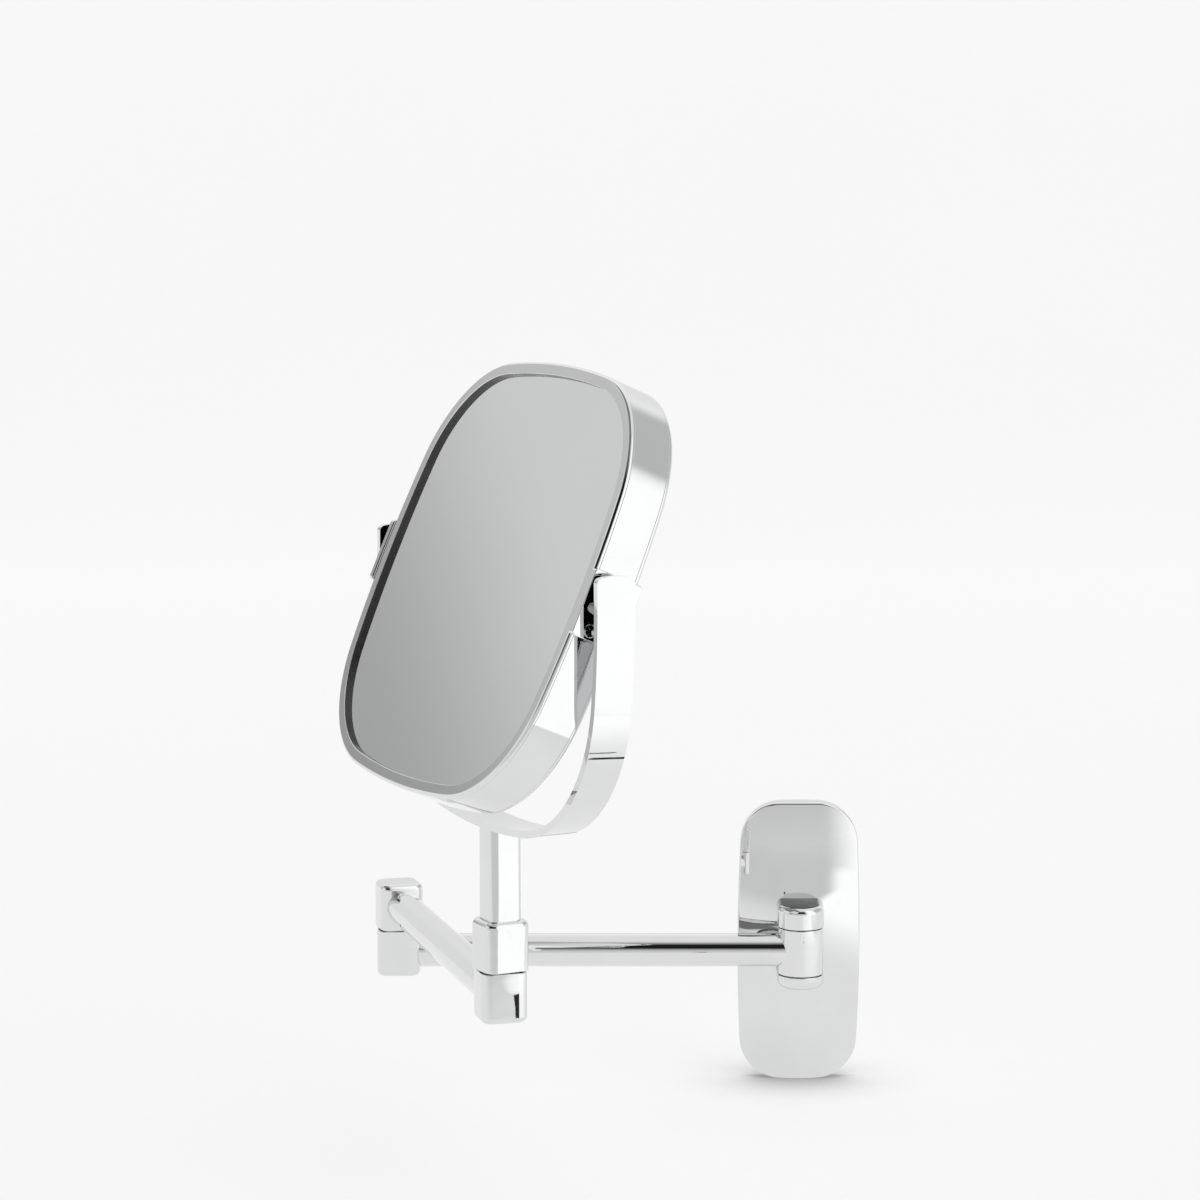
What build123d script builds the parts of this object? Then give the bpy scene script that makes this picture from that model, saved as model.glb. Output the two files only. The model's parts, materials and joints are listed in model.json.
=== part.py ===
from build123d import *
import os
from math import cos, radians, sin

# Extendable shaving mirror: a wall plate, two jointed arms and a framed mirror in a yoke.
# Units are millimetres. The origin is the centre of the wall plate's back, on the wall.
# +Z is up, +Y points into the wall and the mirror reaches out along -Y.

# ---------------------------------------------------------------- driving dimensions
PLATE_W = 59.0
PLATE_H = 136.0
PLATE_DEPTH = 13.2
PLATE_WALL = 2.6
PLATE_CORNER_R = 20.0
PLATE_EDGE_R = 2.6

HINGE_OUT = 27.0          # wall hinge axis, measured out from the wall
ARM_LENGTH = 192.0        # axis to axis, the same for both arms
TUBE_R = 8.0
TUBE_BORE_R = 6.0
ELBOW_TURN = 106.1        # angle from the inner arm's line to the outer arm's line
YOKE_TURN = -62.65        # yoke's turn about its post, from square to the wall
HEAD_TILT = 23.85         # top of the mirror leans back

BARREL_W = 20.6
BARREL_CORNER_R = 4.8
BARREL_H = 22.0
BARREL_END_R = 2.6
BARREL_SEAM_R = 0.35
WASHER_T = 0.4
LEVEL = BARREL_H + WASHER_T
RUNNING_GAP = 0.04        # radial or axial play in every bearing

WALL_BARREL_W = 21.8
EAR_W = 22.2
EAR_GAP_HALF = 11.6
EAR_TOP = 22.0
EAR_BOTTOM = -18.0

POST_W = 15.0
POST_CORNER_R = 3.4
PIVOT_Z = 200.8           # mirror's tilt axis above the inner arm's centreline
YOKE_HALF_W = 107.3
YOKE_DROP = 104.9         # from the tilt axis to the outside of the yoke's bottom
YOKE_STRIP_W = 17.0
YOKE_STRIP_T = 3.0
YOKE_CORNER_R = 75.0
YOKE_END_RISE = 14.7      # yoke ends rise this far above the tilt axis

HEAD_W = 193.8
HEAD_H = 192.0
HEAD_DEPTH = 21.7
HEAD_BULGE = 9.8
HEAD_CORNER_R = 56.0
BEZEL_T = 2.2
BEZEL_LAND = 5.6
BAND_T = 1.6
GLASS_T = 3.0
MAGNIFIER_R = 900.0       # radius of the concave glass, about three times magnification

PAD_L = 28.4
PAD_W = 23.0
PAD_T = 2.8
PAD_SCREW_OFFSET = 9.6
STUD_R = 3.0

WALL_AXIS = (0.0, -HINGE_OUT)
ELBOW_AXIS = (-ARM_LENGTH, -HINGE_OUT)
OUTER_ANGLE = 180.0 + ELBOW_TURN
KNUCKLE_AXIS = (
    ELBOW_AXIS[0] + ARM_LENGTH * cos(radians(OUTER_ANGLE)),
    ELBOW_AXIS[1] + ARM_LENGTH * sin(radians(OUTER_ANGLE)),
)
YOKE_BOTTOM_Z = PIVOT_Z - YOKE_DROP
SWIVEL_Z = 2 * LEVEL - BARREL_H / 2

os.makedirs("parts", exist_ok=True)


# ---------------------------------------------------------------- helpers
def save(name, *shapes):
    """Write one node, made of one or more separate solids."""
    solids = [solid for shape in shapes for solid in shape.solids()]
    whole = solids[0] if len(solids) == 1 else Compound(children=solids)
    whole.label = name
    export_step(whole, f"parts/{name}.step")


def at_inner(shape):
    """Inner arm's frame: x runs from the wall hinge to the elbow."""
    return Pos(*WALL_AXIS, 0) * Rot(0, 0, 180) * shape


def at_outer(shape):
    """Outer arm's frame: x runs from the elbow to the knuckle, one barrel higher."""
    return Pos(*ELBOW_AXIS, LEVEL) * Rot(0, 0, OUTER_ANGLE) * shape


def at_yoke(shape):
    """Yoke's frame: z on the post's axis, x across the yoke, level of the inner arm."""
    return Pos(*KNUCKLE_AXIS, 0) * Rot(0, 0, YOKE_TURN) * shape


def at_head(shape):
    """Mirror's frame: origin on the tilt axis, x along it, -y out of the front glass."""
    return at_yoke(Pos(0, 0, PIVOT_Z) * Rot(-HEAD_TILT, 0, 0) * shape)


def rod(radius, z_low, z_high, x=0.0, y=0.0):
    return Pos(x, y, (z_low + z_high) / 2) * Cylinder(radius, z_high - z_low)


def rod_x(radius, x_low, x_high, y=0.0, z=0.0):
    return Pos((x_low + x_high) / 2, y, z) * Rot(0, 90, 0) * Cylinder(radius, x_high - x_low)


def rod_y(radius, y_low, y_high, x=0.0, z=0.0):
    return Pos(x, (y_low + y_high) / 2, z) * Rot(90, 0, 0) * Cylinder(radius, y_high - y_low)


def block(x, y, z):
    """Box from three (low, high) pairs."""
    centre = [(pair[0] + pair[1]) / 2 for pair in (x, y, z)]
    return Pos(*centre) * Box(x[1] - x[0], y[1] - y[0], z[1] - z[0])


def soft_outline(width, height, bulge_x, bulge_y, corner_r):
    """Rectangle whose four sides are shallow arcs and whose corners are rounded."""
    w = width / 2
    h = height / 2
    x = w - bulge_x
    y = h - bulge_y
    with BuildSketch() as sketch:
        with BuildLine():
            ThreePointArc((x, -y), (w, 0), (x, y))
            ThreePointArc((x, y), (0, h), (-x, y))
            ThreePointArc((-x, y), (-w, 0), (-x, -y))
            ThreePointArc((-x, -y), (0, -h), (x, -y))
        make_face()
        fillet(sketch.vertices(), corner_r)
    return sketch.sketch


def soft_prism(outline, z_low, z_high):
    return Pos(0, 0, z_low) * extrude(outline, z_high - z_low)


def upright(outline, y_low, y_high):
    """Extrude an x-y outline so that it stands in the x-z plane, from y_low to y_high."""
    return Pos(0, y_high, 0) * Rot(90, 0, 0) * extrude(outline, y_high - y_low)


def barrel_outline(width):
    return soft_outline(width, width, 0.35, 0.35, BARREL_CORNER_R)


def rounded_barrel(width, z_low, z_high, low_r, high_r):
    """Soft-square barrel with its low and high rims rounded."""
    body = soft_prism(barrel_outline(width), z_low, z_high)
    body = fillet(body.faces().sort_by(Axis.Z)[-1].edges(), high_r)
    return fillet(body.faces().sort_by(Axis.Z)[0].edges(), low_r)


# ---------------------------------------------------------------- barrel and bearing details
BOSS_L = 3.6              # round boss between a barrel's flat and the tube
BOSS_BLEND_R = 1.6
SPIGOT_R = TUBE_BORE_R - 0.05
SPIGOT_L = 12.0
BOLT_R = 4.0
BOLT_THREAD_DEPTH = 13.0
BOLT_HEAD_R = 6.0
BOLT_HEAD_T = 3.6
CAVITY_R = 7.0
CAVITY_DEPTH = 9.0
CAP_T = 2.4
SPRING_T = 1.6
BUSH_R = 5.0
BUSH_FLANGE_R = 8.0
HEX_SOCKET = 4.0


def with_boss(body, width, reach, direction):
    """Add the round boss and the spigot that goes into the tube, towards +x or -x."""
    face = width / 2
    boss = rod_x(TUBE_R, 0, face + BOSS_L)
    spigot = rod_x(SPIGOT_R, 0, face + BOSS_L + SPIGOT_L)
    if direction < 0:
        boss = Rot(0, 0, 180) * boss
        spigot = Rot(0, 0, 180) * spigot
    joined = body + Pos(reach, 0, 0) * boss
    blend = [
        edge
        for edge in joined.edges()
        if edge.geom_type != GeomType.LINE
        and abs(edge.center().Z) < TUBE_R
        and abs(edge.bounding_box().size.Z - 2 * TUBE_R) < 0.2
        and face - 3.0 < direction * (edge.center().X - reach) < face + 0.5
    ]
    if blend:
        joined = fillet(blend, BOSS_BLEND_R)
    return joined + Pos(reach, 0, 0) * spigot


def lower_barrel_cuts(body, z_low, z_high):
    """Bore for the bush, and the cavity for the pivot bolt's head and its spring."""
    body = body - rod(BUSH_R, z_low + CAVITY_DEPTH - 1, z_high + 1)
    return body - rod(CAVITY_R, z_low - 1, z_low + CAVITY_DEPTH)


def pivot_bush(z_low, z_high):
    """Nylon bush in the lower barrel, with the flange that parts the two barrels."""
    sleeve = rod(BUSH_R, z_low + CAVITY_DEPTH, z_high)
    flange = rod(BUSH_FLANGE_R, z_high, z_high + WASHER_T - RUNNING_GAP)
    bore = rod(BOLT_R + RUNNING_GAP, z_low, z_high + 1)
    return sleeve + flange - bore


def pivot_bolt(z_low, z_high):
    """Shoulder bolt: head in the lower barrel's cavity, thread in the upper barrel."""
    head_low = z_low + CAVITY_DEPTH - SPRING_T - BOLT_HEAD_T - 2 * RUNNING_GAP
    head = rod(BOLT_HEAD_R, head_low, head_low + BOLT_HEAD_T)
    head = chamfer(head.edges(), 0.4)
    shank = rod(BOLT_R, head_low + 1, z_high + WASHER_T + BOLT_THREAD_DEPTH)
    socket = Pos(0, 0, head_low) * extrude(RegularPolygon(HEX_SOCKET / 2, 6, major_radius=False), 2.4)
    return head + shank - socket


def pivot_spring(z_low):
    """Pair of disc springs that press the two barrels together."""
    top = z_low + CAVITY_DEPTH - RUNNING_GAP
    low = top - SPRING_T
    ring = rod(BOLT_HEAD_R, low, top) - rod(BOLT_R + 0.3, low - 1, top + 1)
    groove = rod(BOLT_HEAD_R + 1, low + 0.7, low + 0.9) - rod(BOLT_HEAD_R - 0.6, low, top)
    return ring - groove


def pivot_cap(z_low):
    """Turned plug that closes the cavity, set in from the barrel's rounded end."""
    cap = rod(CAVITY_R, z_low, z_low + CAP_T)
    return chamfer(cap.faces().sort_by(Axis.Z)[0].edges(), 0.4)


def arm_tube(start, end):
    return rod_x(TUBE_R, start, end) - rod_x(TUBE_BORE_R, start - 1, end + 1)


# ---------------------------------------------------------------- wall plate
DOME_SAG_X = 4.6
DOME_SAG_Z = 4.2
DOME_R_X = ((PLATE_W / 2) ** 2 + DOME_SAG_X**2) / (2 * DOME_SAG_X)
DOME_R_Z = ((PLATE_H / 2) ** 2 + DOME_SAG_Z**2) / (2 * DOME_SAG_Z)
PLATE_TOP_BULGE = 1.2
PLATE_SIDE_BULGE = 2.2

BRACKET_W = 40.0
BRACKET_H = 112.0
BRACKET_T = 3.0
BRACKET_CORNER_R = 8.0
WALL_SCREW_SPACING = 86.0
WALL_SCREW_R = 2.6
LUG_W = 18.0
LUG_T = 3.0
LUG_REACH = 4.0
GRUB_R = 1.5
GRUB_Y = -4.6

SPINE_W = 19.0
SPINE_FRONT_Y = -9.0
SPINE_BACK_Y = -5.0
SPINE_TOP = 35.0
SPINE_BOTTOM = -33.0
SPINE_SCREW_Z = 28.5
EAR_FRONT_Y = -HINGE_OUT - EAR_W / 2
EAR_TOP_R = 3.0
EAR_BOTTOM_R = 4.0
WALL_PIN_TOP = 18.0
WALL_PIN_BOTTOM = -15.6


def dome(depth, inset):
    """Pillow: the plate's outline under a surface that is curved both ways."""
    outline = soft_outline(
        PLATE_W - 2 * inset,
        PLATE_H - 2 * inset,
        PLATE_SIDE_BULGE,
        PLATE_TOP_BULGE,
        PLATE_CORNER_R - inset,
    )
    prism = upright(outline, -depth, 0)
    reach = PLATE_H / 2 + 10
    sag = DOME_R_Z - (DOME_R_Z**2 - reach**2) ** 0.5
    axis_y = -depth + DOME_R_X
    with BuildSketch(Plane.YZ) as profile:
        with BuildLine():
            ThreePointArc((-depth + sag, -reach), (-depth, 0), (-depth + sag, reach))
            Polyline((-depth + sag, reach), (axis_y, reach), (axis_y, -reach), (-depth + sag, -reach))
        make_face()
    rounded = revolve(profile.sketch, Axis((0, axis_y, 0), (0, 0, 1)), 360)
    return prism & rounded


def ear(z_low, z_high, low_r, high_r):
    """One ear of the hinge bracket, from the spine out to its rounded front."""
    front = rod(EAR_W / 2, z_low, z_high, 0, -HINGE_OUT)
    straight = block((-EAR_W / 2, EAR_W / 2), (-HINGE_OUT, SPINE_FRONT_Y), (z_low, z_high))
    whole = front + straight
    top_edges = [e for e in whole.faces().sort_by(Axis.Z)[-1].edges() if e.center().Y < SPINE_FRONT_Y - 0.5]
    whole = fillet(top_edges, high_r)
    low_edges = [e for e in whole.faces().sort_by(Axis.Z)[0].edges() if e.center().Y < SPINE_FRONT_Y - 0.5]
    return fillet(low_edges, low_r)


def make_wall_parts():
    upper_ear = ear(EAR_GAP_HALF, EAR_TOP, BARREL_SEAM_R, EAR_TOP_R)
    lower_ear = ear(EAR_BOTTOM, -EAR_GAP_HALF, EAR_BOTTOM_R, BARREL_SEAM_R)
    ears = [upper_ear, lower_ear]

    shell = dome(PLATE_DEPTH, 0.0)
    rim = [e for e in shell.edges() if e.center().Y < -0.5 and e.bounding_box().size.Y < DOME_SAG_X]
    shell = fillet(rim, PLATE_EDGE_R)
    shell = shell - dome(PLATE_DEPTH - PLATE_WALL, PLATE_WALL)
    boss_front = -PLATE_DEPTH + 2.0
    for z in (SPINE_SCREW_Z, -SPINE_SCREW_Z):
        shell = shell + rod_y(4.4, boss_front, SPINE_FRONT_Y, 0, z)
        shell = shell - rod_y(1.65, boss_front + 0.2, SPINE_FRONT_Y + 1, 0, z)
    for one_ear in ears:
        shell = shell - one_ear
    shell = shell - rod(GRUB_R, -PLATE_H / 2 - 1, -PLATE_H / 2 + 6, 0, GRUB_Y)
    save("wall_plate_cover", shell)

    spine = block((-SPINE_W / 2, SPINE_W / 2), (SPINE_FRONT_Y, SPINE_BACK_Y), (SPINE_BOTTOM, SPINE_TOP))
    spine = fillet(spine.edges().filter_by(Axis.Y), 5.0)
    bracket = spine + upper_ear + lower_ear
    axis_x, axis_y = WALL_AXIS
    bracket = bracket - rod(BOLT_R, EAR_BOTTOM - 1, WALL_PIN_TOP, axis_x, axis_y)
    for z in (SPINE_SCREW_Z, -SPINE_SCREW_Z):
        bracket = bracket - rod_y(1.65, SPINE_FRONT_Y - 1, SPINE_BACK_Y + 1, 0, z)
        sink = Pos(0, SPINE_BACK_Y - 0.8, z) * Rot(90, 0, 0) * Cone(3.2, 1.65, 1.6)
        bracket = bracket - sink
    save("hinge_bracket", bracket)

    screws = []
    for z in (SPINE_SCREW_Z, -SPINE_SCREW_Z):
        head = Pos(0, SPINE_BACK_Y - 0.8, z) * Rot(90, 0, 0) * Cone(3.2, 1.65, 1.6)
        shank = rod_y(1.65, boss_front + 0.2, SPINE_BACK_Y - 1.6, 0, z)
        slot = block((-0.35, 0.35), (SPINE_BACK_Y - 0.7, SPINE_BACK_Y + 1), (z - 2.4, z + 2.4))
        cross = block((-2.4, 2.4), (SPINE_BACK_Y - 0.7, SPINE_BACK_Y + 1), (z - 0.35, z + 0.35))
        screws.append(head + shank - slot - cross)
    save("hinge_bracket_screws", *screws)

    save("wall_pin", rod(BOLT_R, WALL_PIN_BOTTOM, WALL_PIN_TOP, axis_x, axis_y))
    save("wall_pin_cap", rod(BOLT_R, EAR_BOTTOM, WALL_PIN_BOTTOM, axis_x, axis_y))

    plate = upright(RectangleRounded(BRACKET_W, BRACKET_H, BRACKET_CORNER_R), -BRACKET_T, 0)
    lug_y = (-BRACKET_T - LUG_REACH, -BRACKET_T)
    half_h = BRACKET_H / 2
    plate = plate + block((-LUG_W / 2, LUG_W / 2), lug_y, (half_h - LUG_T, half_h))
    plate = plate + block((-LUG_W / 2, LUG_W / 2), lug_y, (-half_h, -half_h + LUG_T))
    for z in (WALL_SCREW_SPACING / 2, -WALL_SCREW_SPACING / 2):
        plate = plate - rod_y(WALL_SCREW_R, -BRACKET_T - 1, 1, 0, z)
    save("wall_bracket", plate)

    grub = rod(GRUB_R, -PLATE_H / 2 + 0.4, -half_h, 0, GRUB_Y)
    grub_low = Pos(0, GRUB_Y, -PLATE_H / 2 + 0.4)
    grub = grub - grub_low * extrude(RegularPolygon(0.75, 6, major_radius=False), 1.6)
    save("cover_grub_screw", grub)


# ---------------------------------------------------------------- inner arm
def make_inner_arm():
    half = BARREL_H / 2
    wall_half = EAR_GAP_HALF - WASHER_T
    wall_barrel = rod(WALL_BARREL_W / 2, -wall_half, wall_half)
    rims = wall_barrel.faces().sort_by(Axis.Z)
    wall_barrel = fillet(rims[0].edges() + rims[-1].edges(), BARREL_SEAM_R)
    wall_barrel = with_boss(wall_barrel, WALL_BARREL_W, 0, 1)
    wall_barrel = wall_barrel - rod(BUSH_R, -wall_half - 1, wall_half + 1)
    save("inner_arm_wall_barrel", at_inner(wall_barrel))

    flange_t = WASHER_T - RUNNING_GAP
    upper_bush = rod(BUSH_R, wall_half - 8, wall_half)
    upper_bush = upper_bush + rod(BUSH_FLANGE_R, wall_half, wall_half + flange_t)
    upper_bush = upper_bush - rod(BOLT_R + RUNNING_GAP, 0, wall_half + 1)
    lower_bush = Rot(180, 0, 0) * upper_bush
    save("wall_hinge_bushes", at_inner(upper_bush), at_inner(lower_bush))

    tube_start = WALL_BARREL_W / 2 + BOSS_L
    tube_end = ARM_LENGTH - BARREL_W / 2 - BOSS_L
    save("inner_arm_tube", at_inner(arm_tube(tube_start, tube_end)))

    elbow = rounded_barrel(BARREL_W, -half, half, BARREL_END_R, BARREL_SEAM_R)
    elbow = Pos(ARM_LENGTH, 0, 0) * elbow
    elbow = with_boss(elbow, BARREL_W, ARM_LENGTH, -1)
    elbow = Pos(ARM_LENGTH, 0, 0) * lower_barrel_cuts(Pos(-ARM_LENGTH, 0, 0) * elbow, -half, half)
    save("inner_arm_elbow_barrel", at_inner(elbow))

    to_elbow = Pos(ARM_LENGTH, 0, 0)
    save("elbow_bush", at_inner(to_elbow * pivot_bush(-half, half)))
    save("elbow_cap", at_inner(to_elbow * pivot_cap(-half)))


# ---------------------------------------------------------------- outer arm
def make_outer_arm():
    half = BARREL_H / 2
    upper = rounded_barrel(BARREL_W, -half, half, BARREL_SEAM_R, BARREL_END_R)
    upper = with_boss(upper, BARREL_W, 0, 1)
    upper = upper - rod(BOLT_R, -half - 1, -half + BOLT_THREAD_DEPTH)
    save("outer_arm_elbow_barrel", at_outer(upper))

    below = Pos(0, 0, -LEVEL)
    save("elbow_bolt", at_outer(below * pivot_bolt(-half, half)))
    save("elbow_disc_springs", at_outer(below * pivot_spring(-half)))

    face = BARREL_W / 2 + BOSS_L
    save("outer_arm_tube", at_outer(arm_tube(face, ARM_LENGTH - face)))

    to_knuckle = Pos(ARM_LENGTH, 0, 0)
    lower = rounded_barrel(BARREL_W, -half, half, BARREL_END_R, BARREL_SEAM_R)
    lower = with_boss(to_knuckle * lower, BARREL_W, ARM_LENGTH, -1)
    lower = to_knuckle * lower_barrel_cuts(Pos(-ARM_LENGTH, 0, 0) * lower, -half, half)
    save("outer_arm_knuckle_barrel", at_outer(lower))
    save("knuckle_bush", at_outer(to_knuckle * pivot_bush(-half, half)))
    save("knuckle_cap", at_outer(to_knuckle * pivot_cap(-half)))


# ---------------------------------------------------------------- yoke
STUD_COLLAR_R = 5.2
STUD_REACH = 13.6         # how far the stud goes into the mirror frame
CLIP_GROOVE = 0.9
POST_STUD_R = 3.0
YOKE_END_ARCH = 0.8
YOKE_END_R = 2.5
POST_STUD_Z = (42.0, 78.0)


def yoke_outline(inset):
    width = 2 * (YOKE_HALF_W - inset)
    height = 2 * (YOKE_DROP - inset)
    return soft_outline(width, height, HEAD_BULGE + 4, HEAD_BULGE + 4, YOKE_CORNER_R - inset)


def make_yoke():
    swivel_top = SWIVEL_Z + BARREL_H
    barrel = rounded_barrel(BARREL_W, SWIVEL_Z, swivel_top, BARREL_SEAM_R, BARREL_END_R)
    barrel = barrel - rod(BOLT_R, SWIVEL_Z - 1, SWIVEL_Z + BOLT_THREAD_DEPTH - 5)
    barrel = barrel - rod(POST_STUD_R, POST_STUD_Z[0], swivel_top + 1)
    save("swivel_barrel", at_yoke(barrel))

    knuckle_low = LEVEL - BARREL_H / 2
    bolt = pivot_bolt(knuckle_low, knuckle_low + BARREL_H)
    bolt = bolt - rod(BOLT_R + 1, SWIVEL_Z + BOLT_THREAD_DEPTH - 5, swivel_top)
    save("knuckle_bolt", at_yoke(bolt))
    save("knuckle_disc_springs", at_yoke(pivot_spring(knuckle_low)))

    half_w = YOKE_STRIP_W / 2
    ring = upright(yoke_outline(0), -half_w, half_w) - upright(yoke_outline(YOKE_STRIP_T), -half_w, half_w)
    with BuildSketch(Plane.YZ) as side_view:
        with BuildLine():
            shoulder = YOKE_END_RISE - YOKE_END_ARCH
            ThreePointArc((half_w, shoulder), (0, YOKE_END_RISE), (-half_w, shoulder))
            Polyline((-half_w, shoulder), (-half_w, -2 * YOKE_DROP), (half_w, -2 * YOKE_DROP), (half_w, shoulder))
        make_face()
        fillet(side_view.vertices().group_by(Axis.Y)[-1], YOKE_END_R)
    trim = extrude(side_view.sketch, 2 * YOKE_HALF_W, both=True)
    strap = Pos(0, 0, PIVOT_Z) * (ring & trim)
    save("yoke_strap", at_yoke(strap))

    post = soft_prism(soft_outline(POST_W, POST_W, 0.25, 0.25, POST_CORNER_R), swivel_top, YOKE_BOTTOM_Z + 0.6)
    post = post - strap - rod(POST_STUD_R, swivel_top - 1, POST_STUD_Z[1])
    save("post", at_yoke(post))
    save("post_stud", at_yoke(rod(POST_STUD_R, *POST_STUD_Z)))

    inner_face = YOKE_HALF_W - YOKE_STRIP_T
    band_face = HEAD_W / 2
    collar = rod_x(STUD_COLLAR_R, band_face + PAD_T + 0.3, inner_face + 0.2)
    journal = rod_x(STUD_R, band_face - STUD_REACH, inner_face)
    groove_x = band_face - STUD_REACH + CLIP_GROOVE
    groove = rod_x(STUD_R + 1, groove_x, groove_x + 0.8)
    groove = groove - rod_x(STUD_R - 0.6, 0, band_face)
    stud = Pos(0, 0, PIVOT_Z) * (collar + journal - groove) - strap
    save("pivot_studs", at_yoke(stud), at_yoke(Rot(0, 0, 180) * stud))


# ---------------------------------------------------------------- mirror head
HEAD_FRONT_Y = -HEAD_DEPTH / 2
HEAD_BACK_Y = HEAD_DEPTH / 2
GLASS_FRONT_Y = HEAD_FRONT_Y + BEZEL_T
GLASS_MARGIN = 2.4        # glass reaches this far behind the bezel's land
GASKET_T = 0.8
CORE_WALL = 0.3
CORE_RIM = 16.0
CORE_FLOOR_Y = -1.6
MAGNIFIER_RIM_Y = HEAD_BACK_Y - BEZEL_T - 0.15
BLOCK_L = 26.0
BLOCK_W = 9.2
BLOCK_DEPTH = 10.0
SCREW_R = 1.5
SCREW_HEAD_R = 2.9
SCREW_HEAD_T = 1.7
BUSHING_R = 3.8
CLIP_R = 4.3
CLIP_T = 0.7


def head_outline(inset):
    return soft_outline(
        HEAD_W - 2 * inset,
        HEAD_H - 2 * inset,
        HEAD_BULGE,
        HEAD_BULGE,
        HEAD_CORNER_R - inset,
    )


def bezel(front_y, back_y, outer_y):
    """Flat ring round one glass; outer_y is its outward face, whose rim is rounded."""
    ring = upright(head_outline(0), front_y, back_y) - upright(head_outline(BEZEL_LAND), front_y, back_y)
    outward = [f for f in ring.faces().filter_by(Axis.Y) if abs(f.center().Y - outer_y) < 0.01][0]
    outer_rim = outward.outer_wire().edges()
    ring = fillet(outer_rim, 1.1)
    outward = [f for f in ring.faces().filter_by(Axis.Y) if abs(f.center().Y - outer_y) < 0.01][0]
    return fillet(outward.inner_wires()[0].edges(), 0.3)


def magnifier_ball(extra):
    """Ball behind the mirror whose surface, grown by extra, shapes the concave glass."""
    rim_r = HEAD_W / 2 - BEZEL_LAND
    centre_y = MAGNIFIER_RIM_Y + (MAGNIFIER_R**2 - rim_r**2) ** 0.5
    return Pos(0, centre_y, 0) * Sphere(MAGNIFIER_R + extra)


def cross_slot(depth):
    """Cross recess for a screw whose head faces +x, cut down from x = 0."""
    bar = block((-depth, 1), (-0.4, 0.4), (-1.7, 1.7))
    return bar + Rot(90, 0, 0) * bar


def both_sides(shape):
    """The same piece at the other end of the tilt axis."""
    return [at_head(shape), at_head(Rot(0, 0, 180) * shape)]


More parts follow.
